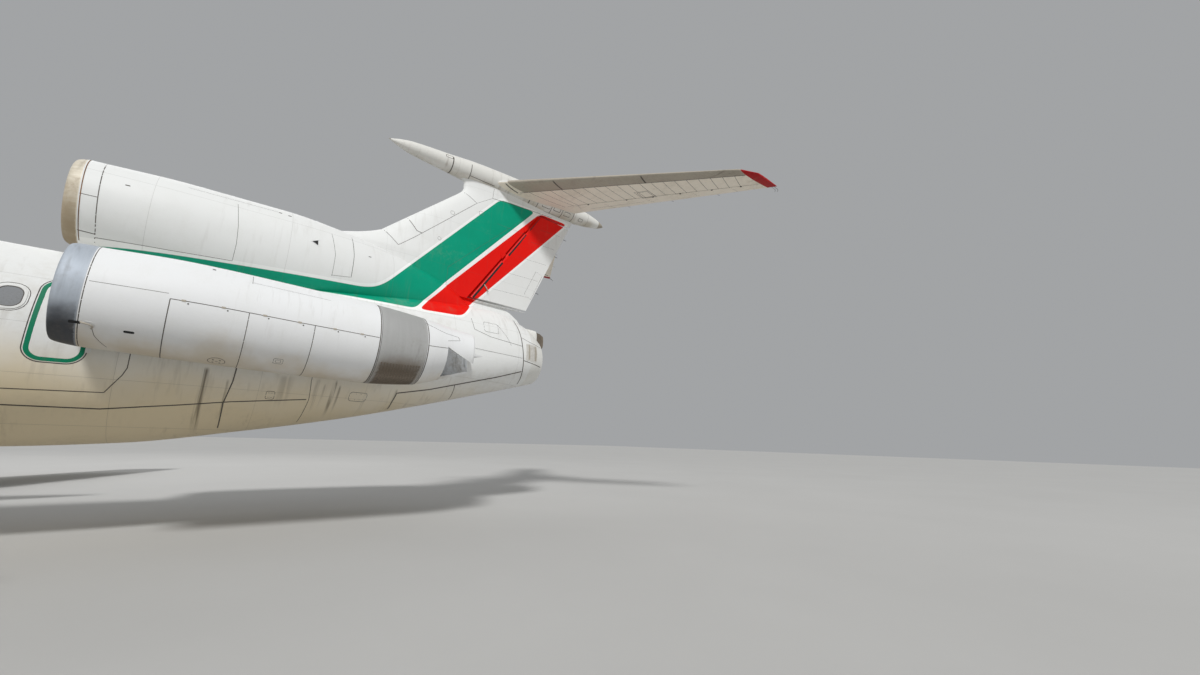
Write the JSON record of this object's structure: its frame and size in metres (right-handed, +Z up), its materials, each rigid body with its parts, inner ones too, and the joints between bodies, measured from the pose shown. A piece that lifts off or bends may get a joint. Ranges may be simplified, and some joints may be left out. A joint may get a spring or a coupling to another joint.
{
  "type": "narrow-body airliner scale model",
  "caption": "Scale model of a narrow-body jet airliner with rear-mounted engines, a T-tail, moving control surfaces, turning fans and wheels, and a steerable nose gear.",
  "frame": {"origin": "on the ground under the middle of the aircraft's bounding box", "axes": "+X to port, -Y towards the nose, +Y towards the tail, +Z up"},
  "size_m": [18.775, 23.95, 5.615],
  "materials": {
    "white_paint": "weathered gloss paint",
    "cream_paint": "dusty gloss paint",
    "radome_paint": "satin paint",
    "brushed_metal": "brushed, heat stained",
    "lip_metal": "bare, dull",
    "stained_metal": "bare, brown stained",
    "nozzle_metal": "bare, sooty inside",
    "engine_metal": "dark, dull",
    "cockpit_glass": "polished",
    "gear_paint": "grey gloss paint",
    "tyre_rubber": "matt"
  },
  "bodies": {
    "airframe": {"radome": "radome_paint", "cockpit_section": "white_paint", "cockpit_glazing": "cockpit_glass", "forward_fuselage": "white_paint", "centre_fuselage": "white_paint", "aft_fuselage": "white_paint", "tail_section": "white_paint", "tail_nozzle": "nozzle_metal", "passenger_door_front": "white_paint", "passenger_door_mid": "white_paint", "service_door_front": "white_paint", "emergency_door_left": "white_paint", "emergency_door_right": "white_paint", "wing_fairing": "cream_paint", "wing_left": "white_paint", "wing_right": "white_paint", "gear_pod_left": "white_paint", "gear_pod_right": "white_paint", "fin": "white_paint", "fin_bullet": "white_paint", "stabilizer": "white_paint", "nacelle_left": "white_paint", "nacelle_right": "white_paint", "reverser_band_left": "brushed_metal", "reverser_band_right": "brushed_metal", "intake_lip_left": "lip_metal", "intake_lip_right": "lip_metal", "engine_left": "engine_metal", "engine_right": "engine_metal", "pylon_left": "white_paint", "pylon_right": "white_paint", "centre_intake_duct": "white_paint", "centre_intake_lip": "stained_metal", "centre_engine": "engine_metal", "nose_leg": "gear_paint", "main_gear_left": "gear_paint", "main_gear_right": "gear_paint"},
    "nose_strut": {"nose_steering_strut": "gear_paint"},
    "nose_wheel_pair": {"nose_wheels": "tyre_rubber"},
    "wheel_pair_left_front": {"main_wheels_left_front": "tyre_rubber"},
    "wheel_pair_left_middle": {"main_wheels_left_middle": "tyre_rubber"},
    "wheel_pair_left_rear": {"main_wheels_left_rear": "tyre_rubber"},
    "wheel_pair_right_front": {"main_wheels_right_front": "tyre_rubber"},
    "wheel_pair_right_middle": {"main_wheels_right_middle": "tyre_rubber"},
    "wheel_pair_right_rear": {"main_wheels_right_rear": "tyre_rubber"},
    "fan_wheel_left": {"fan_left": "engine_metal"},
    "fan_wheel_right": {"fan_right": "engine_metal"},
    "rudder_panel": {"rudder": "white_paint"},
    "elevator_panel_left": {"elevator_left": "white_paint"},
    "elevator_panel_right": {"elevator_right": "white_paint"},
    "aileron_panel_left": {"aileron_left": "white_paint"},
    "aileron_panel_right": {"aileron_right": "white_paint"},
    "inner_flap_left": {"flap_inner_left": "white_paint"},
    "inner_flap_right": {"flap_inner_right": "white_paint"},
    "outer_flap_left": {"flap_outer_left": "white_paint"},
    "outer_flap_right": {"flap_outer_right": "white_paint"},
    "spoiler_panel_left": {"spoiler_left": "white_paint"},
    "spoiler_panel_right": {"spoiler_right": "white_paint"}
  },
  "joints": [
    {"name": "nose_steer", "type": "hinge", "parent": "airframe", "child": "nose_strut", "pos_m": [0, -8.985, 0.59], "axis": [0, 0, 1], "range_deg": [-63, 63]},
    {"name": "nose_wheel_spin", "type": "hinge", "parent": "nose_strut", "child": "nose_wheel_pair", "pos_m": [0, -8.985, 0.2], "axis": [1, 0, 0], "continuous": true},
    {"name": "spin_left_front", "type": "hinge", "parent": "airframe", "child": "wheel_pair_left_front", "pos_m": [2.875, -0.015, 0.2325], "axis": [1, 0, 0], "continuous": true},
    {"name": "spin_left_middle", "type": "hinge", "parent": "airframe", "child": "wheel_pair_left_middle", "pos_m": [2.875, 0.475, 0.2325], "axis": [1, 0, 0], "continuous": true},
    {"name": "spin_left_rear", "type": "hinge", "parent": "airframe", "child": "wheel_pair_left_rear", "pos_m": [2.875, 0.965, 0.2325], "axis": [1, 0, 0], "continuous": true},
    {"name": "spin_right_front", "type": "hinge", "parent": "airframe", "child": "wheel_pair_right_front", "pos_m": [-2.875, -0.015, 0.2325], "axis": [1, 0, 0], "continuous": true},
    {"name": "spin_right_middle", "type": "hinge", "parent": "airframe", "child": "wheel_pair_right_middle", "pos_m": [-2.875, 0.475, 0.2325], "axis": [1, 0, 0], "continuous": true},
    {"name": "spin_right_rear", "type": "hinge", "parent": "airframe", "child": "wheel_pair_right_rear", "pos_m": [-2.875, 0.965, 0.2325], "axis": [1, 0, 0], "continuous": true},
    {"name": "fan_spin_left", "type": "hinge", "parent": "airframe", "child": "fan_wheel_left", "pos_m": [1.44, 4.575, 2.06], "axis": [0, 1, 0], "continuous": true},
    {"name": "fan_spin_right", "type": "hinge", "parent": "airframe", "child": "fan_wheel_right", "pos_m": [-1.44, 4.575, 2.06], "axis": [0, 1, 0], "continuous": true},
    {"name": "rudder_hinge", "type": "hinge", "parent": "airframe", "child": "rudder_panel", "pos_m": [0, 8.835, 4.1375], "axis": [0, 0.5547, 0.8321], "range_deg": [-25, 25]},
    {"name": "elevator_hinge_left", "type": "hinge", "parent": "airframe", "child": "elevator_panel_left", "pos_m": [1.8275, 10.77583, 5.325], "axis": [-0.8344, -0.5511, 0], "range_deg": [-29, 16]},
    {"name": "elevator_hinge_right", "type": "hinge", "parent": "airframe", "child": "elevator_panel_right", "pos_m": [-1.8275, 10.77583, 5.325], "axis": [-0.8344, 0.5511, 0], "range_deg": [-29, 16]},
    {"name": "aileron_hinge_left", "type": "hinge", "parent": "airframe", "child": "aileron_panel_left", "pos_m": [8, 3.51917, 1.0642], "axis": [-0.873, -0.4875, 0.0174], "range_deg": [-20, 20]},
    {"name": "aileron_hinge_right", "type": "hinge", "parent": "airframe", "child": "aileron_panel_right", "pos_m": [-8, 3.51917, 1.0642], "axis": [-0.873, 0.4875, -0.0174], "range_deg": [-20, 20]},
    {"name": "flap_hinge_inner_left", "type": "hinge", "parent": "airframe", "child": "inner_flap_left", "pos_m": [1.92472, 0.2936, 0.86018], "axis": [-0.9346, -0.3557, -0.0049], "range_deg": [0, 45]},
    {"name": "flap_hinge_inner_right", "type": "hinge", "parent": "airframe", "child": "inner_flap_right", "pos_m": [-1.92472, 0.2936, 0.86018], "axis": [-0.9346, 0.3557, 0.0049], "range_deg": [0, 45]},
    {"name": "flap_hinge_outer_left", "type": "hinge", "parent": "airframe", "child": "outer_flap_left", "pos_m": [5.17562, 1.99924, 0.84421], "axis": [-0.8731, -0.4875, 0.0095], "range_deg": [0, 45]},
    {"name": "flap_hinge_outer_right", "type": "hinge", "parent": "airframe", "child": "outer_flap_right", "pos_m": [-5.17562, 1.99924, 0.84421], "axis": [-0.8731, 0.4875, -0.0095], "range_deg": [0, 45]},
    {"name": "spoiler_hinge_left", "type": "hinge", "parent": "airframe", "child": "spoiler_panel_left", "pos_m": [4.825, 1.39176, 1.22761], "axis": [0.8567, 0.515, -0.0284], "range_deg": [0, 45]},
    {"name": "spoiler_hinge_right", "type": "hinge", "parent": "airframe", "child": "spoiler_panel_right", "pos_m": [-4.825, 1.39176, 1.22761], "axis": [0.8567, -0.515, 0.0284], "range_deg": [0, 45]}
  ],
  "couplings": [
    {"joint": "elevator_hinge_right", "follows": "elevator_hinge_left", "ratio": 1},
    {"joint": "aileron_hinge_right", "follows": "aileron_hinge_left", "ratio": -1},
    {"joint": "flap_hinge_inner_right", "follows": "flap_hinge_inner_left", "ratio": 1},
    {"joint": "flap_hinge_outer_left", "follows": "flap_hinge_inner_left", "ratio": 1},
    {"joint": "flap_hinge_outer_right", "follows": "flap_hinge_inner_left", "ratio": 1}
  ]
}
